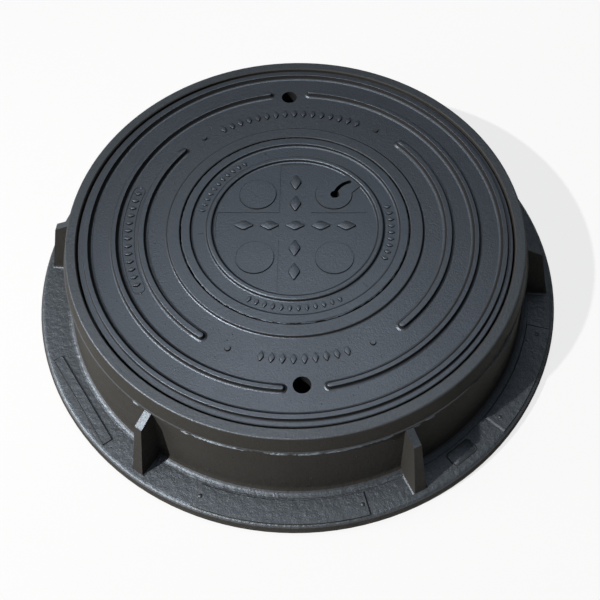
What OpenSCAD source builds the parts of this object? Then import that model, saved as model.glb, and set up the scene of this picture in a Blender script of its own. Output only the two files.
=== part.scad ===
/* [Ring frame] */
// Height of the frame from its foot to the top rim
frame_h = 162; // [140:1:200]
// Outer radius of the base flange
flange_r = 423; // [405:1:450]
// Thickness of the base flange
flange_t = 19; // [14:1:26]
// Outer radius of the top rim
rim_r = 347; // [343:1:352]
// Outer radius of the wall at its parting bead
bead_r = 355; // [352:0.5:358]
// Height of the parting bead above the foot
bead_z = 133; // [125:1:136]
// Outer radius of the wall where it meets the flange
foot_r = 366; // [362:1:372]
// Radius of the pocket that takes the cover
pocket_r = 330; // [329:0.5:332]
// Radius of the clear opening under the cover
clear_r = 305; // [303:1:308]
// Number of gussets round the wall
gussets = 6; // [4:1:8]
// Turn of the gussets from the X axis
gusset_turn = -6.5; // [-30:0.5:30]
// Thickness of a gusset at its head
gusset_head_t = 11; // [8:1:16]
// Thickness of a gusset at the flange
gusset_foot_t = 17; // [12:1:24]

/* [Cover] */
// Radius of the cover
cover_r = 327; // [325:0.5:328.5]
// Thickness of the cover at its edge
cover_t = 32; // [28:1:36]
// Height of the tread ribs above the cover's field
tread_h = 6.5; // [4:0.5:8]
// Radius of the two pick holes
pick_r = 12.7; // [10:0.1:16]
// Distance of the pick holes from the centre
pick_at = 266.5; // [262:0.5:270]
// Number of ribs under the cover
under_ribs = 8; // [6:2:8]

/* [Reader lid] */
// Radius of the reader lid
lid_r = 172; // [170:0.5:173.5]
// Thickness of the reader lid at its edge
lid_t = 22; // [18:0.5:24]
// Turn of the reader lid in the cover
lid_turn = -3; // [-6:0.5:6]
// Radius of the raised discs on the lid
disc_r = 28; // [24:0.5:30]
// Width of the sunk cross on the lid
cross_w = 49; // [40:1:54]

/* [Latch] */
// Distance of the latch pivot from the centre
pivot_at = 106; // [104:0.5:108]
// Direction of the latch pivot, in the lid
pivot_dir = 29.5; // [27:0.5:32]
// Distance from the pivot to the key hole
key_arm = 32; // [30:0.5:34]
// Length of the latch tongue from its pivot
tongue_l = 58; // [52:1:62]
// Thickness of the latch bar
bar_t = 8; // [6:0.5:9]

/* [Hidden] */

// Smooth circles stay true circles at this count
fn_big = 180;
fn_small = 48;
// Levels of the frame
seat_z = frame_h - cover_t;
ledge_t = 16;
wall_t = 14;
inner_foot_r = foot_r - wall_t - 1;
// Levels of the cover: its field lies below the frame's rim
field_drop = 3.5;
field_z = frame_h - field_drop;
crest_z = field_z + tread_h;
plate_z = field_z - 14;
under_z = seat_z - 12;
edge_z = field_z + 0.7;
hub_top = frame_h + 0.2;
// Tread ribs: crest radii, then the runs of slope and foot, inside and outside
rim_rib = [312.1, 317.6, 3.3, 6.3, 2.1, 4.8];
mid_rib = [270.7, 275.6, 3.3, 6.3, 2.1, 4.8];
low_rib = [228.6, 235.3, 2.5, 6, 1.6, 4.6];
// Hub of the cover round the reader lid
hub_r = 194;
lid_pocket_r = lid_r + 2.6;
lid_clear_r = 152;
lid_seat_z = frame_h - lid_t;
ledge_z = lid_seat_z - 14;
// Levels of the reader lid
lid_top = frame_h;
lid_field = lid_top - 4.5;
lid_plate_z = lid_field - 10.5;
lid_rib_z = lid_plate_z - 16;
lid_sunk = 1;
disc_h = 1.8;
// Latch: the bar hooks under the cover's ledge
bar_top = ledge_z - 0.8;
gap = 0.2;
bolt_r = 5.95;
bore_r = 6;
washer_t = 2.4;
head_t = 7.6;
key_turn = 139;
slot_w = 6;
bulb_r = 7;
slot_sweep = 64;

// Points of a quarter round, from angle a to angle b
function round_pts(cx, cz, r, a, b, n = 6) =
    [for (i = [0 : n]) [cx + r * cos(a + (b - a) * i / n), cz + r * sin(a + (b - a) * i / n)]];

// Section of the frame, with the pocket, the seat, the wall and the flange
module frame_section() {
    polygon(concat(
        [[inner_foot_r, 0], [flange_r - 2, 0], [flange_r, 2]],
        round_pts(flange_r - 9, flange_t - 9, 9, 0, 90, 6),
        [[foot_r + 13.5, flange_t], [foot_r + 13, flange_t + 0.8]],
        round_pts(foot_r + 12, flange_t + 13.5, 12.7, 268, 186, 6),
        [[bead_r - 1.4, bead_z - 3]],
        round_pts(bead_r - 1.5, bead_z, 1.5, -60, 60, 4),
        [[bead_r - 2, bead_z + 2.4], [rim_r + 0.2, frame_h - 4.6]],
        round_pts(rim_r - 3.6, frame_h - 3.2, 3.2, 8, 90, 5),
        [[pocket_r + 1.4, frame_h], [pocket_r, frame_h - 1.4], [pocket_r, seat_z]],
        [[clear_r + 1.5, seat_z], [clear_r, seat_z - 1.5], [clear_r, seat_z - ledge_t + 2]],
        [[clear_r + 3, seat_z - ledge_t - 1], [clear_r + 12, seat_z - ledge_t - 3]],
        round_pts(bead_r - wall_t - 14, seat_z - ledge_t - 20, 13, 85, 6, 5)
    ));
}

// Side view of a gusset, from inside the wall to its sloping outer face
module gusset_side() {
    polygon([
        [foot_r - 7, flange_t - 4], [409, flange_t - 4], [409, flange_t + 1],
        [407.5, flange_t + 5], [380, 119], [378.5, 121.5], [376, 122.5],
        [bead_r - 7, bead_z + 3]
    ]);
}

// End view of a gusset, with drafted sides and a flared foot
module gusset_end() {
    head = gusset_head_t / 2;
    foot = gusset_foot_t / 2;
    polygon([
        [-foot - 6, flange_t - 4], [foot + 6, flange_t - 4], [foot + 5.5, flange_t - 0.8],
        [foot + 2, flange_t + 1.2], [foot + 0.4, flange_t + 4],
        [head, bead_z + 4], [-head, bead_z + 4],
        [-foot - 0.4, flange_t + 4], [-foot - 2, flange_t + 1.2], [-foot - 5.5, flange_t - 0.8]
    ]);
}

module gusset() {
    intersection() {
        rotate([90, 0, 0])
            linear_extrude(height = 60, center = true)
                gusset_side();
        rotate([90, 0, 90])
            linear_extrude(height = 600)
                gusset_end();
    }
}

module ring_frame() {
    color([0.27, 0.28, 0.29])
    union() {
        rotate_extrude($fn = fn_big) frame_section();
        for (i = [0 : gussets - 1])
            rotate([0, 0, gusset_turn + i * 360 / gussets]) gusset();
    }
}

// One side of a tread rib as runs and drops from its crest: round, slope, foot
function rib_side(slope_run, foot_run) = [
    [0, 0], [0.5, 0.2], [0.9, 1], [slope_run, tread_h - 1.8],
    [slope_run + 1.1, tread_h - 0.6], [foot_run, tread_h]
];

// Inner and outer side of a tread rib, up to its crest and down again
function rib_inside(rib) =
    [for (i = [5 : -1 : 0]) let (p = rib_side(rib[2], rib[3])[i]) [rib[0] - p[0], crest_z - p[1]]];
function rib_outside(rib, floor_z) =
    [for (p = rib_side(rib[4], rib[5])) [rib[1] + p[0], max(crest_z - p[1], floor_z)]];

// Section of the cover, from the edge and the hub over the rim rib
module cover_section() {
    polygon(concat(
        [[302, seat_z], [cover_r - 1, seat_z], [cover_r, seat_z + 1]],
        [[cover_r, edge_z - 1], [cover_r - 1, edge_z]],
        [for (i = [4 : -1 : 0]) rib_outside(rim_rib, edge_z)[i]],
        [for (i = [5 : -1 : 0]) rib_inside(rim_rib)[i]],
        [[hub_r + 2.2, field_z], [hub_r + 0.9, field_z + 0.7], [hub_r - 0.7, hub_top - 0.9]],
        [[hub_r - 1.3, hub_top - 0.25], [hub_r - 2, hub_top], [lid_pocket_r + 1, hub_top]],
        [[lid_pocket_r, hub_top - 1], [lid_pocket_r, lid_seat_z]],
        [[lid_clear_r + 1, lid_seat_z], [lid_clear_r, lid_seat_z - 1]],
        [[lid_clear_r, ledge_z + 1], [lid_clear_r + 1, ledge_z]],
        [[172, ledge_z], [177, under_z + 2], [178, under_z]],
        [[187, under_z], [189, under_z + 2], [192, plate_z - 2], [194, plate_z]],
        [[286, plate_z], [289, plate_z - 3], [291, under_z + 2], [293, under_z]],
        [[300.5, under_z], [302, under_z + 1.5]]
    ));
}

// A tread rib between two angles, with sloping ends and its foot run into the field
module tread_arc(rib, from, to) {
    over = 0.5;
    sunk = field_z - 1;
    difference() {
        rotate([0, 0, from - over])
            rotate_extrude(angle = to - from + 2 * over, $fn = fn_big)
                polygon(concat(
                    [[rib[0] - rib[3] - 1, sunk], [rib[0] - rib[3] - 1, field_z - 0.3]],
                    rib_inside(rib),
                    rib_outside(rib, field_z),
                    [[rib[1] + rib[5] + 1, field_z - 0.3], [rib[1] + rib[5] + 1, sunk]]
                ));
        for (end = [[from, 45], [to, -45]])
            rotate([0, 0, end[0]])
                translate([(rib[0] + rib[1]) / 2, 0, field_z])
                    rotate([end[1], 0, 0])
                        translate([-20, -15, 0])
                            cube([40, 30, 20]);
    }
}

// A small round stud on the cover
module stud(at, dir) {
    rotate([0, 0, dir])
        translate([at, 0, field_z - 1])
            cylinder(h = 1 + 2.6, r1 = 5, r2 = 3.6, $fn = 32);
}

// A drafted rib under the cover, from the hub to the skirt
module under_rib() {
    rotate([90, 0, 90])
        translate([0, 0, 184])
            linear_extrude(height = 112)
                polygon([
                    [-5, under_z + 2], [5, under_z + 2], [7.5, plate_z + 1], [-7.5, plate_z + 1]
                ]);
}

module cover() {
    color([0.30, 0.31, 0.32])
    difference() {
        union() {
            rotate_extrude($fn = fn_big) cover_section();
            tread_arc(mid_rib, -82.8, 82.8);
            tread_arc(mid_rib, 97.2, 262.8);
            tread_arc(low_rib, -52.4, 40.4);
            tread_arc(low_rib, 139.2, 232.9);
            for (dir = [53, 128, -64, -116]) stud(230, dir);
            for (i = [0 : under_ribs - 1])
                rotate([0, 0, (i + 0.5) * 360 / under_ribs]) under_rib();
            for (s = [-1, 1])
                translate([0, s * pick_at, plate_z - 5])
                    cylinder(h = 8, r1 = pick_r + 5, r2 = pick_r + 7, $fn = fn_small);
        }
        for (s = [-1, 1])
            translate([0, s * pick_at, under_z - 10])
                cylinder(h = 80, r = pick_r, $fn = fn_small);
    }
}

// Section of the reader lid, with its raised rim and inner ring
module lid_section() {
    polygon([
        [0, lid_plate_z], [152, lid_plate_z], [155, lid_plate_z - 3],
        [157, lid_seat_z + 1], [158, lid_seat_z],
        [lid_r - 1, lid_seat_z], [lid_r, lid_seat_z + 1],
        [lid_r, lid_top - 1], [lid_r - 1, lid_top], [160.2, lid_top],
        [159.4, lid_top - 0.3], [159, lid_top - 1], [157.8, lid_field + 1.2],
        [157, lid_field + 0.4], [155.6, lid_field],
        [136.8, lid_field], [135.3, lid_field + 0.6], [134.5, lid_top - 1.9],
        [133.6, lid_top - 0.6], [132.2, lid_top], [128, lid_top],
        [126.7, lid_top - 0.6], [125.8, lid_top - 1.9], [125, lid_field + 0.6],
        [123.6, lid_field], [0, lid_field]
    ]);
}

// The shallow cross, cut into the lid's field inside the inner ring
module cross_cut() {
    translate([0, 0, lid_field - lid_sunk])
        intersection() {
            cylinder(h = 5, r = 121.5, $fn = fn_big);
            union() {
                translate([-123, -cross_w / 2, 0]) cube([233, cross_w, 5]);
                translate([-cross_w / 2, -123, 0]) cube([cross_w, 246, 5]);
            }
        }
}

// A raised disc on the lid's field, in a direction
module disc(dir) {
    rotate([0, 0, dir])
        translate([83.5, 0, lid_field - 1]) {
            cylinder(h = 1, r = disc_r + 1, $fn = 64);
            translate([0, 0, 1])
                cylinder(h = disc_h, r1 = disc_r + 1, r2 = disc_r, $fn = 64);
        }
}

// The raised pad round the keyhole, with its neck to the inner ring
module key_pad() {
    disc(45);
    rotate([0, 0, 44])
        translate([84, -16, lid_field - 1])
            cube([43, 32, 1 + disc_h]);
}

// Places a child at the latch pivot, with X along the tongue
module at_pivot() {
    rotate([0, 0, lid_turn + pivot_dir])
        translate([pivot_at, 0, 0])
            children();
}

// The keyhole: a round hole for the key's hook and a slot along its swing
module keyhole() {
    at_pivot() {
        rotate([0, 0, key_turn])
            translate([key_arm, 0, lid_plate_z - 30])
                cylinder(h = 60, r = bulb_r, $fn = fn_small);
        rotate([0, 0, key_turn - slot_sweep])
            translate([0, 0, lid_plate_z - 30]) {
                rotate_extrude(angle = slot_sweep, $fn = fn_big)
                    translate([key_arm - slot_w / 2, 0])
                        square([slot_w, 60]);
                translate([key_arm, 0, 0])
                    cylinder(h = 60, r = slot_w / 2, $fn = 32);
            }
    }
}

// A stiffening rib under the lid, from the middle to the skirt
module lid_rib() {
    rotate([90, 0, 90])
        translate([0, 0, 2])
            linear_extrude(height = 140)
                polygon([
                    [-4.5, lid_rib_z], [4.5, lid_rib_z],
                    [6, lid_plate_z + 1], [-6, lid_plate_z + 1]
                ]);
}

// The fixed lug opposite the latch, hooked under the cover's ledge
module fixed_lug() {
    rotate([0, 0, 180 + pivot_dir])
        rotate([90, 0, 0])
            linear_extrude(height = 30, center = true)
                polygon([
                    [128, lid_plate_z + 1], [149.5, lid_plate_z + 1], [149.5, ledge_z - 1.5],
                    [162, ledge_z - 1.5], [163.5, ledge_z - 3.5], [162, ledge_z - 11],
                    [142, ledge_z - 12.5], [138, ledge_z - 9]
                ]);
}

module reader_lid() {
    color([0.31, 0.32, 0.34])
    difference() {
        union() {
            difference() {
                rotate_extrude($fn = fn_big) lid_section();
                rotate([0, 0, lid_turn]) cross_cut();
            }
            rotate([0, 0, lid_turn]) {
                for (dir = [135, 225, 315]) disc(dir);
                key_pad();
                for (dir = [0, 90, 180, 270]) rotate([0, 0, dir]) lid_rib();
                fixed_lug();
            }
            at_pivot()
                translate([0, 0, bar_top + gap])
                    cylinder(h = lid_plate_z + 1 - bar_top - gap, r1 = 13, r2 = 15, $fn = fn_small);
        }
        keyhole();
        at_pivot()
            translate([0, 0, bar_top - 10])
                cylinder(h = lid_plate_z - 1 - bar_top + 10, r = bore_r, $fn = fn_small);
    }
}

// The latch bar: a flat bar with a tongue, a hub and an arm for the key
module latch_bar() {
    color([0.42, 0.42, 0.43])
    at_pivot()
        translate([0, 0, bar_top - bar_t])
            linear_extrude(height = bar_t)
                difference() {
                    union() {
                        circle(r = 14, $fn = fn_small);
                        polygon([
                            [3, -12], [tongue_l - 6, -12], [tongue_l - 1.5, -9],
                            [tongue_l, -4], [tongue_l, 4], [tongue_l - 1.5, 9],
                            [tongue_l - 6, 12], [3, 12]
                        ]);
                        rotate(key_turn) translate([3, -9]) square([key_arm - 3, 18]);
                        rotate(key_turn) translate([key_arm, 0]) circle(r = 10.5, $fn = fn_small);
                    }
                    circle(r = bore_r, $fn = fn_small);
                    rotate(key_turn) translate([key_arm, 0]) circle(r = 5, $fn = fn_small);
                }
}

// The bolt that the latch bar turns on, screwed up into the lid's boss
module latch_bolt() {
    washer_z = bar_top - bar_t - gap - washer_t;
    color([0.50, 0.50, 0.52])
    at_pivot() {
        translate([0, 0, washer_z - head_t])
            cylinder(h = head_t, r = 11, $fn = 6);
        translate([0, 0, washer_z - 0.5])
            cylinder(h = lid_plate_z - 4 - washer_z, r = bolt_r, $fn = fn_small);
    }
}

module latch_washer() {
    color([0.55, 0.55, 0.56])
    at_pivot()
        translate([0, 0, bar_top - bar_t - gap - washer_t])
            difference() {
                cylinder(h = washer_t, r = 13, $fn = fn_small);
                translate([0, 0, -1]) cylinder(h = washer_t + 2, r = bolt_r + 0.4, $fn = fn_small);
            }
}

ring_frame();
cover();
reader_lid();
latch_bar();
latch_bolt();
latch_washer();
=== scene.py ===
import bpy, math, random
from mathutils import Vector, Matrix


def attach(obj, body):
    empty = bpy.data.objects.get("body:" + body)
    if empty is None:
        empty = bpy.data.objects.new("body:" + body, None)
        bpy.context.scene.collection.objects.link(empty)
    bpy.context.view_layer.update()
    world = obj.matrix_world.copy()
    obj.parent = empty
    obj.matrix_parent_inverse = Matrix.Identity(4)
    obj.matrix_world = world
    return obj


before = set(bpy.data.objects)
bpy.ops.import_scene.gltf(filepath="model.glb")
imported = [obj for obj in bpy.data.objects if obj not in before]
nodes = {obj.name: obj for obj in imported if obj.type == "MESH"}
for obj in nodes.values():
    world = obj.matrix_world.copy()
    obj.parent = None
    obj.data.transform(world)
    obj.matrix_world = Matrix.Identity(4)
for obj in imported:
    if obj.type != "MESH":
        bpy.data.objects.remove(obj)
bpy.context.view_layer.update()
body = "manhole"
mm = 0.001
print("frame loaded:", ", ".join(sorted(nodes)))


def polar(r, deg, z=0.0):
    a = math.radians(deg)
    return (r * math.cos(a), r * math.sin(a), z)


def placed(pts, cx, cy, deg):
    # flat points turned about the origin, then moved to a place
    c, s = math.cos(math.radians(deg)), math.sin(math.radians(deg))
    return [(cx + x * c - y * s, cy + x * s + y * c) for x, y in pts]


class MeshPile:
    # collects many small castings-on into one mesh, in mm
    def __init__(self):
        self.verts, self.faces = [], []

    def join(self, a, b, n):
        # quads between two loops of n points
        for i in range(n):
            j = (i + 1) % n
            self.faces.append((a + i, a + j, b + j, b + i))

    def loft(self, loops):
        n = len(loops[0])
        start = len(self.verts)
        last = start + (len(loops) - 1) * n
        for loop in loops:
            self.verts.extend(loop)
        for k in range(len(loops) - 1):
            self.join(start + k * n, start + (k + 1) * n, n)
        self.faces.append(tuple(start + i for i in reversed(range(n))))
        self.faces.append(tuple(last + i for i in range(n)))

    def pad(self, outline, z0, z1, slope, edge):
        # the top is drawn in by the slope, with a soft edge
        cx = sum(p[0] for p in outline) / len(outline)
        cy = sum(p[1] for p in outline) / len(outline)
        loops = []
        for by, z in ((0, z0), (slope * 0.75, z1 - edge), (slope, z1 - edge * 0.3), (slope + edge, z1)):
            loop = []
            for x, y in outline:
                d = math.hypot(x - cx, y - cy)
                keep = max(0.05, (d - by) / d)
                loop.append((cx + (x - cx) * keep, cy + (y - cy) * keep, z))
            loops.append(loop)
        self.loft(loops)

    def strip(self, r0, r1, a, b, z0, z1):
        # a thin bead between two radii and two directions
        edge = 0.25 * (r1 - r0)
        section = ((r0, z0), (r1, z0), (r1 - edge, z1), (r0 + edge, z1))
        self.loft([[polar(r, ang, z) for r, z in section] for ang in (a, (a + b) / 2, b)])

    def plate(self, r0, r1, a, b, z0, z1, slope, endSlope):
        # a curved plate on the flange, its four sides drawn in by the slopes
        n = max(4, int(abs(b - a)))
        inset = math.degrees(endSlope / r0)
        loops = []
        for i in range(-1, n + 2):
            ang = a if i < 0 else b if i > n else a + inset + (b - a - 2 * inset) * i / n
            top = z0 if i in (-1, n + 1) else z1
            loops.append([polar(r0, ang, z0), polar(r1, ang, z0),
                          polar(r1 - slope, ang, top), polar(r0 + slope, ang, top)])
        self.loft(loops)

    def ring(self, outer, inner, z0, z1, slope):
        # a raised line between two outlines of the same point count
        n = len(outer)
        start = len(self.verts)
        mid = [((o[0] + i[0]) / 2, (o[1] + i[1]) / 2) for o, i in zip(outer, inner)]

        def drawnIn(line):
            out = []
            for p, m in zip(line, mid):
                t = min(1.0, slope / (math.hypot(m[0] - p[0], m[1] - p[1]) or 1.0))
                out.append((p[0] + (m[0] - p[0]) * t, p[1] + (m[1] - p[1]) * t))
            return out

        for line, z in ((outer, z0), (drawnIn(outer), z1), (drawnIn(inner), z1), (inner, z0)):
            self.verts.extend((x, y, z) for x, y in line)
        for k in range(4):
            self.join(start + k * n, start + (k + 1) % 4 * n, n)

    def dome(self, cx, cy, r, z, h, n):
        loops = []
        for share, lift in ((1.0, -0.3), (0.9, 0.35), (0.6, 0.8), (0.25, 1.0)):
            circle = [polar(r * share, 360 * i / n) for i in range(n)]
            loops.append([(cx + x, cy + y, z + h * lift) for x, y, _ in circle])
        self.loft(loops)

    def slab(self, foot, crown, z0, z1):
        # a raised insert between a foot outline and a slightly smaller top outline
        shoulder, soft = 0.7, 0.3
        near = [(f[0] + (c[0] - f[0]) * shoulder, f[1] + (c[1] - f[1]) * shoulder)
                for f, c in zip(foot, crown)]
        self.loft([[(x, y, z) for x, y in line] for line, z in ((foot, z0), (near, z1 - soft), (crown, z1))])

    def ribEnd(self, rib, start, axis, height, crest):
        # carries a tread rib on from the solid and closes it with a round nose
        inner, outer, inRun, inFoot, outRun, outFoot = rib
        mid, half = (inner + outer) / 2, (outer - inner) / 2
        way = 1 if axis > start else -1
        hair = 0.02  # keeps the nose's skin off the solid's
        cx, cy, _ = polar(mid, axis)
        steps = [start + (axis - start) * i / 6 for i in range(6)]
        drops = (hair, 0.2 + hair, 1 + hair, height - 1.8, height - 0.6, height - hair, height + 0.5)
        insides, outsides = ([half - hair + run for run in (0.0, 0.5, 0.9, slope, slope + 1.1, foot, foot + 0.8)]
                             for slope, foot in ((inRun, inFoot), (outRun, outFoot)))
        loops = []
        for inside, outside, drop in zip(insides, outsides, drops):
            nose = []
            for i in range(13):
                t = math.pi * i / 12
                far = inside + (outside - inside) * (1 - math.cos(t)) / 2
                nose.append((-math.cos(t) * far, math.sin(t) * far * way))
            line = [polar(mid - inside, ang)[:2] for ang in steps]
            line += placed(nose, cx, cy, axis)
            line += [polar(mid + outside, ang)[:2] for ang in reversed(steps)]
            loops.append([(x, y, crest - drop) for x, y in line[::way]])
        self.loft(loops[::-1])

    def fin(self, r, z, a, b, rng, flash):
        # a thin ragged fin of flash that runs round a casting
        root, step = 0.6, 0.35  # depth of its foot in the casting, degrees between its points
        thick = flash["thick"]
        n = max(3, int(abs(b - a) / step))
        out, lift, loops = 0.0, 0.0, []
        for i in range(n + 1):
            out = min(1.0, max(0.0, out + rng.uniform(-0.45, 0.45)))
            lift = min(1.0, max(-1.0, lift + rng.uniform(-0.5, 0.5)))
            edge = 0.0 if i in (0, n) else 1.0
            ang = a + (b - a) * i / n
            top = z + flash["wander"] * lift * edge
            loops.append([polar(r - root, ang, top - thick), polar(r + flash["reach"] * out * edge, ang, top),
                          polar(r - root, ang, top + thick)])
        self.loft(loops)

    def build(self, name, material, slot, sharp=35.0):
        mesh = bpy.data.meshes.new(name)
        mesh.from_pydata([Vector(v) * mm for v in self.verts], [], self.faces)
        mesh.validate()
        mesh.materials.append(material)
        for p in mesh.polygons:
            p.use_smooth = True
        mesh.set_sharp_from_angle(angle=math.radians(sharp))
        obj = bpy.data.objects.new(name, mesh)
        bpy.context.scene.collection.objects.link(obj)
        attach(obj, body)


def bandInsert(r0, r1, a, b, grow):
    # outline of a curved band with round ends
    mid, half = (r0 + r1) / 2, (r1 - r0) / 2 + grow

    def side(r, first, last):
        return [polar(r, first + (last - first) * i / 20)[:2] for i in range(21)]

    def nose(axis, way):
        cx, cy, _ = polar(mid, axis)
        turns = [math.pi * i / 10 for i in range(1, 10)]
        return placed([(-math.cos(t) * half, math.sin(t) * half * way) for t in turns], cx, cy, axis)

    return side(mid - half, b, a) + nose(a, -1) + side(mid + half, a, b) + nose(b, 1)[::-1]


def roundedBox(cx, cy, w, h, r, turn):
    pts = []
    for sx, sy, quarter in ((1, 1, 0), (-1, 1, 90), (-1, -1, 180), (1, -1, 270)):
        for i in range(5):
            x, y, _ = polar(r, quarter + 90 * i / 4)
            pts.append((sx * (w / 2 - r) + x, sy * (h / 2 - r) + y))
    return placed(pts, cx, cy, turn)


def diamond(cx, cy, length, width, turn, tip=0.16):
    # a lozenge with blunt tips, long side along its own Y
    w, h = width / 2, length / 2
    corners = [(w, 0), (0, h), (-w, 0), (0, -h)]
    pts = []
    for k in range(4):
        x, y = corners[k]
        for other in (corners[k - 1], corners[(k + 1) % 4]):
            pts.append((x + (other[0] - x) * tip, y + (other[1] - y) * tip))
    return placed(pts, cx, cy, turn)


# tones of the upward faces and of the walls, per casting, which carry painted light: the pale bluish top tone is a
# painted sky reflection, the dark warm wall tone is painted shade and ground bounce
# up: the height of the normal over which the wall's tone turns into the top's
ironLooks = {
    "ring_frame": {"top": (0.154, 0.174, 0.197), "side": (0.048, 0.046, 0.042), "rough": 0.52,
                   "grain": 1.1, "lumps": 1.0, "patches": 0.30, "bump": 0.6, "up": (0.68, 0.90)},
    "cover": {"top": (0.158, 0.181, 0.213), "side": (0.020, 0.020, 0.021), "rough": 0.47,
              "grain": 1.1, "lumps": 0.15, "patches": 0.22, "bump": 0.5, "up": (0.62, 0.84)},
    "reader_lid": {"top": (0.155, 0.181, 0.214), "side": (0.018, 0.018, 0.020), "rough": 0.48,
                   "grain": 1.1, "lumps": 0.15, "patches": 0.22, "bump": 0.5, "up": (0.56, 0.80)},
    "latch_bar": {"top": (0.110, 0.112, 0.118), "side": (0.040, 0.040, 0.042), "rough": 0.42,
                  "grain": 0.3, "lumps": 0.05, "patches": 0.3, "bump": 0.3, "up": (0.26, 0.50)},
}
# what all castings share: noise scales, shares of the relief, of the shade and of the roughness
skin = {"grain": 900.0, "fine": 330.0, "lumps": 105.0, "slow": 9.0, "pits": 260.0, "pitPatches": 40.0,
        "fineRelief": 1.3, "lumpRelief": 3.2, "pitDepth": 0.9, "bumpDepth": 0.0006,
        "baseLevel": 0.02, "rimLevel": 0.10, "rimLumps": 0.25,
        "blotchShade": 0.6, "fleckShade": 0.4, "pitShade": 0.5, "darkTint": (0.35, 0.34, 0.33),
        "fleckRough": 0.10, "blotchRough": 0.06, "sideRough": 0.2,
        "topMetal": 0.95, "sideMetal": 0.05, "specular": 0.08}


def link(tree, a, b):
    tree.links.new(a, b)


def feed(tree, sock, value):
    # a number or a colour is set, an output is linked
    if isinstance(value, (int, float)):
        sock.default_value = value
    elif isinstance(value, tuple):
        sock.default_value = (*value, 1.0)
    else:
        link(tree, value, sock)


def mathNode(tree, op, a, b, clamp=False):
    n = tree.nodes.new("ShaderNodeMath")
    n.operation, n.use_clamp = op, clamp
    feed(tree, n.inputs[0], a)
    feed(tree, n.inputs[1], b)
    return n.outputs[0]


def noiseNode(tree, coords, scale, detail=3.0, rough=0.55):
    n = tree.nodes.new("ShaderNodeTexNoise")
    for name, value in (("Scale", scale), ("Detail", detail), ("Roughness", rough), ("Vector", coords)):
        feed(tree, n.inputs[name], value)
    return n.outputs["Fac"]


def rangeNode(tree, value, a, b, c=0.0, d=1.0):
    n = tree.nodes.new("ShaderNodeMapRange")
    for name, v in zip(("Value", "From Min", "From Max", "To Min", "To Max"), (value, a, b, c, d)):
        feed(tree, n.inputs[name], v)
    return n.outputs["Result"]


def mixColor(tree, fac, a, b, blend="MIX"):
    n = tree.nodes.new("ShaderNodeMix")
    n.data_type, n.blend_type = "RGBA", blend
    for sock, v in ((n.inputs[0], fac), (n.inputs[6], a), (n.inputs[7], b)):
        feed(tree, sock, v)
    return n.outputs[2]


def axes(tree, vector):
    n = tree.nodes.new("ShaderNodeSeparateXYZ")
    link(tree, vector, n.inputs[0])
    return n.outputs


def buildCastSkin(s):
    # thin dark paint on sand-cast iron with fine grain, pits and slow lumps; its tops are painted pale as a painted
    # sky reflection, its walls painted dark as painted shade, and the walls are duller
    g = bpy.data.node_groups.new("castSkin", "ShaderNodeTree")

    def socket(name, kind, way):
        return g.interface.new_socket(name=name, in_out=way, socket_type=kind)

    for name in ("Top", "Side"):
        socket(name, "NodeSocketColor", "INPUT")
    for name in ("Grain", "Lumps", "Patches", "Base Rough", "Up From", "Up To"):
        socket(name, "NodeSocketFloat", "INPUT")
    socket("Color", "NodeSocketColor", "OUTPUT")
    for name in ("Roughness", "Metal", "Height"):
        socket(name, "NodeSocketFloat", "OUTPUT")
    given, gout = g.nodes.new("NodeGroupInput").outputs, g.nodes.new("NodeGroupOutput")
    coords = g.nodes.new("ShaderNodeTexCoord").outputs["Object"]
    normal = g.nodes.new("ShaderNodeNewGeometry").outputs["Normal"]

    def math2(op, a, b, clamp=False):
        return mathNode(g, op, a, b, clamp)

    up = rangeNode(g, axes(g, normal)[2], given["Up From"], given["Up To"])
    grain = noiseNode(g, coords, s["grain"], 2.0, 0.6)
    fine = noiseNode(g, coords, s["fine"], 3.0, 0.6)
    # the base of the casting is lumpier than its rim
    lumps = math2("MULTIPLY", noiseNode(g, coords, s["lumps"], 2.0, 0.5),
                  rangeNode(g, axes(g, coords)[2], s["rimLevel"], s["baseLevel"], s["rimLumps"], 1.0))
    slow = noiseNode(g, coords, s["slow"], 3.0, 0.55)
    pits = g.nodes.new("ShaderNodeTexVoronoi")
    feed(g, pits.inputs["Scale"], s["pits"])
    feed(g, pits.inputs["Vector"], coords)
    pitMask = math2("MULTIPLY", rangeNode(g, pits.outputs["Distance"], 0.16, 0.05),
                    rangeNode(g, noiseNode(g, coords, s["pitPatches"], 1.0), 0.56, 0.62))
    blotch = rangeNode(g, slow, 0.32, 0.68)
    fleck = rangeNode(g, fine, 0.35, 0.75)
    # darker patches, flecks and pits in the paint
    shade = math2("ADD", math2("MULTIPLY", blotch, s["blotchShade"]), math2("MULTIPLY", fleck, s["fleckShade"]))
    shade = math2("ADD", math2("MULTIPLY", shade, given["Patches"]), math2("MULTIPLY", pitMask, s["pitShade"]), True)
    # painted light: faces that look up take the pale top tone as a painted sky reflection, walls take the dark side
    # tone as painted shade
    tone = mixColor(g, up, given["Side"], given["Top"])
    color = mixColor(g, shade, tone, mixColor(g, 1.0, tone, s["darkTint"], "MULTIPLY"))
    rough = given["Base Rough"]
    for mask, share in ((fleck, s["fleckRough"]), (blotch, s["blotchRough"])):
        rough = math2("ADD", rough, math2("MULTIPLY", math2("SUBTRACT", mask, 0.5), share))
    rough = math2("ADD", rough, math2("MULTIPLY", math2("SUBTRACT", 1.0, up), s["sideRough"]), True)
    metal = rangeNode(g, up, 0.0, 1.0, s["sideMetal"], s["topMetal"])
    height = math2("MULTIPLY", math2("ADD", grain, math2("MULTIPLY", fine, s["fineRelief"])), given["Grain"])
    height = math2("ADD", height, math2("MULTIPLY", math2("MULTIPLY", lumps, s["lumpRelief"]), given["Lumps"]))
    height = math2("SUBTRACT", height, math2("MULTIPLY", pitMask, s["pitDepth"]))
    for name, value in (("Color", color), ("Roughness", rough), ("Metal", metal), ("Height", height)):
        link(g, value, gout.inputs[name])
    return g


castSkin = buildCastSkin(skin)


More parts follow.
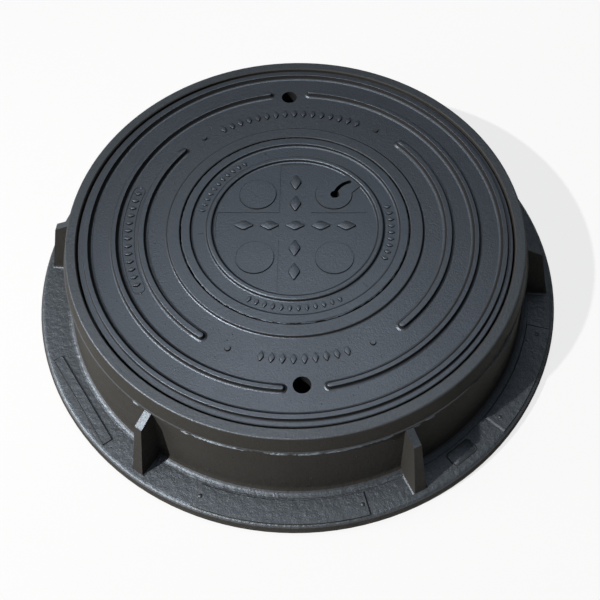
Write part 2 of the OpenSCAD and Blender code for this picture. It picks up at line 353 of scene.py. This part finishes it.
def ironMaterial(name, look):
    m = bpy.data.materials.new(name)
    m.use_nodes = True
    t = m.node_tree
    shader = t.nodes["Principled BSDF"]
    shader.inputs["Specular IOR Level"].default_value = skin["specular"]
    paint = t.nodes.new("ShaderNodeGroup")
    paint.node_tree = castSkin
    # the top tone is a painted sky reflection and the side tone painted shade
    for label, value in (("Top", look["top"]), ("Side", look["side"]), ("Grain", look["grain"]),
                         ("Lumps", look["lumps"]), ("Patches", look["patches"]), ("Base Rough", look["rough"]),
                         ("Up From", look["up"][0]), ("Up To", look["up"][1])):
        feed(t, paint.inputs[label], value)
    bump = t.nodes.new("ShaderNodeBump")
    bump.inputs["Strength"].default_value = look["bump"]
    bump.inputs["Distance"].default_value = skin["bumpDepth"]
    link(t, paint.outputs["Height"], bump.inputs["Height"])
    link(t, bump.outputs["Normal"], shader.inputs["Normal"])
    for made, taken in (("Color", "Base Color"), ("Roughness", "Roughness"), ("Metal", "Metallic")):
        link(t, paint.outputs[made], shader.inputs[taken])
    return m


frameIron = ironMaterial("frameIron", ironLooks["ring_frame"])
coverIron = ironMaterial("coverIron", ironLooks["cover"])
lidIron = ironMaterial("lidIron", ironLooks["reader_lid"])
latchPaint = ironMaterial("latchPaint", ironLooks["latch_bar"])

boltLook = {"bright": (0.52, 0.53, 0.55), "dull": (0.36, 0.37, 0.38), "rough": (0.32, 0.52), "grain": 220.0}


def boltSteel(look):
    m = bpy.data.materials.new("boltSteel")
    m.use_nodes = True
    t = m.node_tree
    shader = t.nodes["Principled BSDF"]
    wear = noiseNode(t, t.nodes.new("ShaderNodeTexCoord").outputs["Object"], look["grain"])
    link(t, mixColor(t, rangeNode(t, wear, 0.35, 0.7), look["bright"], look["dull"]), shader.inputs["Base Color"])
    link(t, rangeNode(t, wear, 0.3, 0.7, *look["rough"]), shader.inputs["Roughness"])
    shader.inputs["Metallic"].default_value = 1.0
    return m


zincSteel = boltSteel(boltLook)

for node, material in (("ring_frame", frameIron), ("cover", coverIron), ("reader_lid", lidIron),
                       ("latch_bar", latchPaint), ("latch_bolt", zincSteel), ("latch_washer", zincSteel)):
    obj = nodes[node]
    obj.data.materials.clear()
    obj.data.materials.append(material)
print("materials set")


# soft cast edges on the CAD pieces, radius in mm
edgeRounds = {"ring_frame": 1.6, "cover": 0.6, "reader_lid": 0.5,
              "latch_bar": 0.6, "latch_bolt": 0.4, "latch_washer": 0.3}
sharpestKept = 48.0
for node, r in edgeRounds.items():
    m = nodes[node].modifiers.new("castEdge", "BEVEL")
    m.width = r * mm
    m.segments = 2
    m.limit_method = "ANGLE"
    m.angle_limit = math.radians(sharpestKept)
    m.harden_normals = True
    m.use_clamp_overlap = True
print("edges rounded")


# levels of the castings that the small relief stands on, in mm
levels = {"field": 158.5, "ribCrest": 165.0, "lidField": 157.5, "crossField": 156.5, "flange": 19.0}
lidTurn = -3.0
rooted = 0.4  # how far thin relief reaches down into the casting


def treadRow(pile, row, z0, z1):
    # a curved row of small diamonds
    radius, a, b, length, width, pitch = row
    count = max(1, round(math.radians(abs(b - a)) * radius / pitch))
    for i in range(count + 1):
        ang = a + (b - a) * i / count
        x, y, _ = polar(radius, ang)
        pile.pad(diamond(x, y, length, width, ang - 90), z0, z1, 1.1, 0.4)


# rows of anti-slip diamonds: radius, from, to, length, width, pitch
# insert: inner and outer radius, from, to; pips: radius, direction
coverMarks = {"height": 2.8, "sink": 0.6,
              "rows": [(227.5, 119.0, 61.5, 18.0, 11.0, 15.4),
                       (227.5, 256.0, 286.5, 18.5, 11.0, 15.4),
                       (252.5, 163.5, 202.5, 14.0, 8.5, 13.8)],
              "insert": (243.5, 261.5, 162.5, 204.0), "insertLine": 0.9, "insertLift": 0.9,
              "pips": [(252.5, 160.6), (252.5, 206.0)], "pipRadius": 2.2, "pipLift": 1.2}
coverPile = MeshPile()
field = levels["field"]
for row in coverMarks["rows"]:
    treadRow(coverPile, row, field - coverMarks["sink"], field + coverMarks["height"])
halfLine = coverMarks["insertLine"] / 2
coverPile.ring(bandInsert(*coverMarks["insert"], halfLine), bandInsert(*coverMarks["insert"], -halfLine),
               field - rooted, field + coverMarks["insertLift"], 0.25)
for r, a in coverMarks["pips"]:
    x, y, _ = polar(r, a)
    coverPile.dome(x, y, coverMarks["pipRadius"], field, coverMarks["pipLift"], 10)
coverPile.build("coverTread", coverIron, "cover_iron")


# rib: crest radii and side runs of the solid's ribs
# ends: the direction where the solid is still full, and the axis of the nose
ribEnds = {"height": 6.5, "sharp": 50.0,
           "mid": {"rib": (270.7, 275.6, 3.3, 6.3, 2.1, 4.8),
                   "ends": [(261.0, 264.1), (-81.0, -82.2), (99.0, 97.0), (81.0, 82.8)]},
           "low": {"rib": (228.6, 235.3, 2.5, 6.0, 1.6, 4.6),
                   "ends": [(-50.0, -51.8), (38.0, 41.2), (141.6, 138.5), (230.4, 233.5)]}}
ribPile = MeshPile()
for kind in ("mid", "low"):
    for start, axis in ribEnds[kind]["ends"]:
        ribPile.ribEnd(ribEnds[kind]["rib"], start, axis, ribEnds["height"], levels["ribCrest"])
ribPile.build("ribNoses", coverIron, "cover_iron", ribEnds["sharp"])


# seams: inner and outer radius, direction
lidMarks = {"height": 2.2, "sink": 0.5,
            "rows": [(146.0, 121.5, 166.0, 13.0, 8.0, 11.8),
                     (146.0, 241.0, 294.0, 13.0, 8.0, 11.8),
                     (146.0, 333.0, 371.0, 13.0, 8.0, 11.8)],
            "seams": [(138.0, 155.0, 106.4), (141.0, 156.0, 311.4), (137.0, 150.0, 183.2)],
            "seamHalf": 0.7, "seamLift": 0.7,
            "discs": {"at": 83.5, "radius": 28.3, "headings": (135, 225, 315), "rim": 1.0, "lift": 2.3},
            "cross": {"pitchY": 41.7, "pitchX": 39.0, "length": 33.0, "width": 20.0, "height": 3.0, "sink": 0.5}}
lidPile = MeshPile()
lidField = levels["lidField"]
for row in lidMarks["rows"]:
    treadRow(lidPile, row, lidField - lidMarks["sink"], lidField + lidMarks["height"])
cross = lidMarks["cross"]
spots = [(0.0, k * cross["pitchY"], 0.0) for k in (-2, -1, 1, 2)]
spots += [(k * cross["pitchX"], 0.0, 90.0) for k in (-2, -1, 0, 1, 2)]
for x, y, lean in spots:
    px, py = placed([(x, y)], 0, 0, lidTurn)[0]
    lidPile.pad(diamond(px, py, cross["length"], cross["width"], lean + lidTurn, 0.12),
                levels["crossField"] - cross["sink"], levels["crossField"] + cross["height"], 1.5, 0.5)
for r0, r1, a in lidMarks["seams"]:
    half = math.degrees(lidMarks["seamHalf"] / r0)
    lidPile.strip(r0, r1, a - half, a + half, lidField - rooted, lidField + lidMarks["seamLift"])
disc = lidMarks["discs"]
for heading in disc["headings"]:
    x, y, _ = polar(disc["at"], heading + lidTurn)
    outer, inner = ([(x + p[0], y + p[1]) for p in [polar(r, 360 * i / 64) for i in range(64)]]
                    for r in (disc["radius"] + disc["rim"] * 0.7, disc["radius"] - disc["rim"]))
    lidPile.ring(outer, inner, lidField - rooted, lidField + disc["lift"], 0.5)
lidPile.build("lidTread", lidIron, "lid_iron")


# ragged edge of the reader lid, in the gap round it
burr = {"seed": 11, "radius": 172.0, "level": 160.6, "reach": 1.1, "thick": 0.5, "wander": 0.4, "runs": 9}
burrPile = MeshPile()
burrDice = random.Random(burr["seed"])
span = 360 // burr["runs"]
for i in range(burr["runs"]):
    burrPile.fin(burr["radius"], burr["level"], i * span, (i + 1) * span, burrDice, burr)
burrPile.build("lidBurr", lidIron, "lid_iron")
print("tread bars cast:", len(coverPile.faces) + len(lidPile.faces), "faces")


# arcs: inner and outer radius, from, to; boxes: size, corner, and how far each outline is drawn in
# pips: radius, direction, size
plateDims = {"arcs": [(380.6, 416.6, -113.6, -77.2), (379.4, 416.6, -44.7, -16.8)],
             "height": 2.0, "sink": 0.9, "slope": 1.3, "endSlope": 3.6,
             "boxes": [{"at": (394.2, -54.4), "size": (24.5, 46.5), "corner": 6.0, "lift": 1.2,
                        "crown": (3.4, 4.3), "line": ((2.6, 4.7), (5.4, 3.3)), "lineZ": (0.9, 2.1)},
                       {"at": (396.0, 212.0), "size": (17.0, 171.0), "corner": 1.5, "lift": 1.6,
                        "crown": (1.8, 0.75), "line": ((1.2, 0.9), (4.4, 0.6)), "lineZ": (1.3, 2.4)}],
             "boxSink": 0.5, "lineSlope": 0.5,
             "pips": [(399.0, -112.3, 3.6), (399.2, -78.6, 3.6), (397.6, -42.4, 3.2),
                      (397.3, -19.3, 3.2), (383.5, -21.9, 2.2)], "pipSeat": 1.7, "pipLift": 0.55}
flangePile = MeshPile()
flangeTop = levels["flange"]
for r0, r1, a, b in plateDims["arcs"]:
    flangePile.plate(r0, r1, a, b, flangeTop - plateDims["sink"], flangeTop + plateDims["height"],
                     plateDims["slope"], plateDims["endSlope"])
for box in plateDims["boxes"]:
    r, a = box["at"]
    x, y, _ = polar(r, a)
    w, h = box["size"]
    foot, crown, outer, inner = (roundedBox(x, y, w - less, h - less, corner, a)
                                 for less, corner in ((0.0, box["corner"]), box["crown"], *box["line"]))
    flangePile.slab(foot, crown, flangeTop - plateDims["boxSink"], flangeTop + box["lift"])
    flangePile.ring(outer, inner, flangeTop + box["lineZ"][0], flangeTop + box["lineZ"][1], plateDims["lineSlope"])
for r, a, size in plateDims["pips"]:
    x, y, _ = polar(r, a)
    flangePile.dome(x, y, size, flangeTop + plateDims["pipSeat"], size * plateDims["pipLift"], 14)
flangePile.build("flangePlates", frameIron, "frame_iron")
print("flange plates cast")


# flash along the parting bead: runs from and to a direction, each laid twice, a little apart
flash = {"seed": 23, "radius": 354.9, "level": 133.6, "reach": 1.7, "thick": 0.9, "wander": 0.9,
         "runs": [(229, 233), (238, 259), (261, 290), (293, 300), (318, 330), (20, 60), (95, 140)]}
dice = random.Random(flash["seed"])
flashPile = MeshPile()
for a, b in flash["runs"]:
    for shift in (0.0, 1.0):
        flashPile.fin(flash["radius"], flash["level"] - shift, a + shift, b - 2 * shift, dice, flash)
flashPile.build("partingFlash", frameIron, "frame_iron")

# grains of sand burnt into the skin; bands: inner and outer radius, count
specks = {"size": (0.5, 1.3), "lift": 0.55,
          "cover": [(183, 221, 60), (241, 262, 50), (281, 305, 60)], "frame": [(377, 412, 130)],
          "wall": {"from": 36, "to": 126, "count": 130, "size": (0.4, 1.0),
                   "head": (353.8, 130), "foot": (365.2, 33)}}


def sandBands(pile, bands, z):
    for r0, r1, count in bands:
        for i in range(count):
            x, y, _ = polar(dice.uniform(r0, r1), dice.uniform(0, 360))
            size = dice.uniform(*specks["size"])
            pile.dome(x, y, size, z, size * specks["lift"], 6)


def sandWall(pile, wall):
    (headR, headZ), (footR, footZ) = wall["head"], wall["foot"]
    for i in range(wall["count"]):
        level = dice.uniform(wall["from"], wall["to"])
        size = dice.uniform(*wall["size"])
        r = footR + (headR - footR) * (level - footZ) / (headZ - footZ)
        x, y, _ = polar(r, dice.uniform(0, 360))
        pile.dome(x, y, size, level, size, 6)


coverSand, frameSand = MeshPile(), MeshPile()
sandBands(coverSand, specks["cover"], field)
coverSand.build("coverSpecks", coverIron, "cover_iron")
sandBands(frameSand, specks["frame"], flangeTop)
sandWall(frameSand, specks["wall"])
frameSand.build("frameSpecks", frameIron, "frame_iron")
print("flash and specks cast")


# the camera solved from the photograph's round edges: degrees, mm, and pixels of its 600 px frame
viewSet = {"elevation": 58.8994, "azimuth": -0.8136, "roll": -1.646, "distance": 1363.54,
           "originX": 296.8719, "originY": 281.0786, "focal": 809.8096, "frame": 600.0, "sensor": 36.0}


def addCamera(v):
    el, az, roll = (math.radians(v[k]) for k in ("elevation", "azimuth", "roll"))
    forward = -Vector((math.sin(az) * math.cos(el), -math.cos(az) * math.cos(el), math.sin(el)))
    right = forward.cross(Vector((0, 0, 1))).normalized()
    up = right.cross(forward)
    rolledRight = math.cos(roll) * right + math.sin(roll) * up
    rolledUp = -math.sin(roll) * right + math.cos(roll) * up
    d = v["distance"] * mm
    ox = (v["originX"] - v["frame"] / 2) / v["focal"] * d
    oy = -(v["originY"] - v["frame"] / 2) / v["focal"] * d
    camData = bpy.data.cameras.new("camera")
    camData.sensor_width = v["sensor"]
    camData.lens = v["focal"] / v["frame"] * v["sensor"]
    camData.clip_end = 50.0
    cam = bpy.data.objects.new("camera", camData)
    turn = Matrix((rolledRight, rolledUp, -forward)).transposed().to_4x4()
    cam.matrix_world = Matrix.Translation(-(rolledRight * ox + rolledUp * oy + forward * d)) @ turn
    bpy.context.scene.collection.objects.link(cam)
    bpy.context.scene.camera = cam


addCamera(viewSet)


# warm sun from the left, a low lamp for the left of the wall, a soft lamp overhead and a dim sky
stageSet = {"floor": {"size": 12.0, "drop": 0.0005, "tone": (0.80, 0.80, 0.80), "bounce": (0.30, 0.30, 0.30),
                      "mottle": 0.97, "mottleScale": 60.0, "rough": 0.9,
                      "glow": 0.78, "footprint": 0.41, "fade": 0.005},
            "sun": {"toward": 23.0, "elevation": 42.0, "strength": 3.6, "angle": 1.2, "color": (1.0, 0.985, 0.96)},
            "sideLamp": {"at": (-1.60, -0.30, 0.42), "aim": (-0.30, -0.10, 0.08), "size": 0.7, "power": 10.0},
            "softbox": {"at": (-0.10, 0.22, 1.60), "size": 0.9, "power": 4.6},
            "sky": {"top": (0.102, 0.117, 0.138), "front": (0.06, 0.062, 0.065), "back": (0.025, 0.028, 0.03),
                    "lowZ": 0.60, "topZ": 0.97, "frontY": -0.4, "backY": 0.3}}


def addFloor(s):
    w = s["size"] / 2
    mesh = bpy.data.meshes.new("floor")
    mesh.from_pydata([(-w, -w, 0), (w, -w, 0), (w, w, 0), (-w, w, 0)], [], [(0, 1, 2, 3)])
    obj = bpy.data.objects.new("floor", mesh)
    bpy.context.scene.collection.objects.link(obj)
    obj.location.z = -s["drop"]
    m = bpy.data.materials.new("floorPaper")
    m.use_nodes = True
    t = m.node_tree
    shader = t.nodes["Principled BSDF"]
    coords = t.nodes.new("ShaderNodeTexCoord").outputs["Object"]
    shader.inputs["Roughness"].default_value = s["rough"]
    # the eye and the gloss see the paper nearly white outside the footprint; the light it throws back is dim
    path = t.nodes.new("ShaderNodeLightPath").outputs
    mottled = tuple(c * s["mottle"] for c in s["tone"])
    paper = mixColor(t, noiseNode(t, coords, s["mottleScale"]), s["tone"], mottled)
    link(t, mixColor(t, path["Is Camera Ray"], s["bounce"], paper), shader.inputs["Base Color"])
    seen = mathNode(t, "ADD", path["Is Camera Ray"], path["Is Glossy Ray"])
    seen = mathNode(t, "ADD", seen, path["Is Transmission Ray"], True)
    far = t.nodes.new("ShaderNodeVectorMath")
    far.operation = "LENGTH"
    link(t, coords, far.inputs[0])
    outside = rangeNode(t, far.outputs["Value"], s["footprint"] - s["fade"], s["footprint"], 0.0, s["glow"])
    glow = t.nodes.new("ShaderNodeEmission")
    glow.inputs["Strength"].default_value = 1.0
    mix = t.nodes.new("ShaderNodeMixShader")
    link(t, mathNode(t, "MULTIPLY", seen, outside), mix.inputs[0])
    link(t, shader.outputs["BSDF"], mix.inputs[1])
    link(t, glow.outputs[0], mix.inputs[2])
    link(t, mix.outputs[0], t.nodes["Material Output"].inputs["Surface"])
    mesh.materials.append(m)


def addWorld(s):
    w = bpy.data.worlds.new("studioSky")
    bpy.context.scene.world = w
    w.use_nodes = True
    t = w.node_tree
    t.nodes.clear()
    out = t.nodes.new("ShaderNodeOutputWorld")
    sky = t.nodes.new("ShaderNodeBackground")
    toward = axes(t, t.nodes.new("ShaderNodeTexCoord").outputs["Generated"])
    side = mixColor(t, rangeNode(t, toward[1], s["frontY"], s["backY"]), s["front"], s["back"])
    link(t, mixColor(t, rangeNode(t, toward[2], s["lowZ"], s["topZ"]), side, s["top"]), sky.inputs["Color"])
    link(t, sky.outputs[0], out.inputs["Surface"])


def addSun(s):
    data = bpy.data.lights.new("keyLight", "SUN")
    data.energy = s["strength"]
    data.angle = math.radians(s["angle"])
    data.color = s["color"]
    sun = bpy.data.objects.new("keyLight", data)
    e, a = math.radians(s["elevation"]), math.radians(s["toward"])
    travel = Vector((math.cos(a) * math.cos(e), math.sin(a) * math.cos(e), -math.sin(e)))
    sun.rotation_euler = travel.to_track_quat("-Z", "Y").to_euler()
    bpy.context.scene.collection.objects.link(sun)


def addLamp(name, s):
    # a round area lamp, which looks straight down unless it is given an aim
    data = bpy.data.lights.new(name, "AREA")
    data.shape, data.size, data.energy = "DISK", s["size"], s["power"]
    lamp = bpy.data.objects.new(name, data)
    lamp.location = s["at"]
    if "aim" in s:
        lamp.rotation_euler = (Vector(s["aim"]) - Vector(s["at"])).to_track_quat("-Z", "Y").to_euler()
    bpy.context.scene.collection.objects.link(lamp)


addFloor(stageSet["floor"])
addWorld(stageSet["sky"])
addSun(stageSet["sun"])
addLamp("softbox", stageSet["softbox"])  # mirrored in the front half of the tops
addLamp("sideLamp", stageSet["sideLamp"])  # lifts the wall where the sun only grazes it
bpy.context.scene.view_settings.view_transform = "Standard"
print("stage, light and camera set")
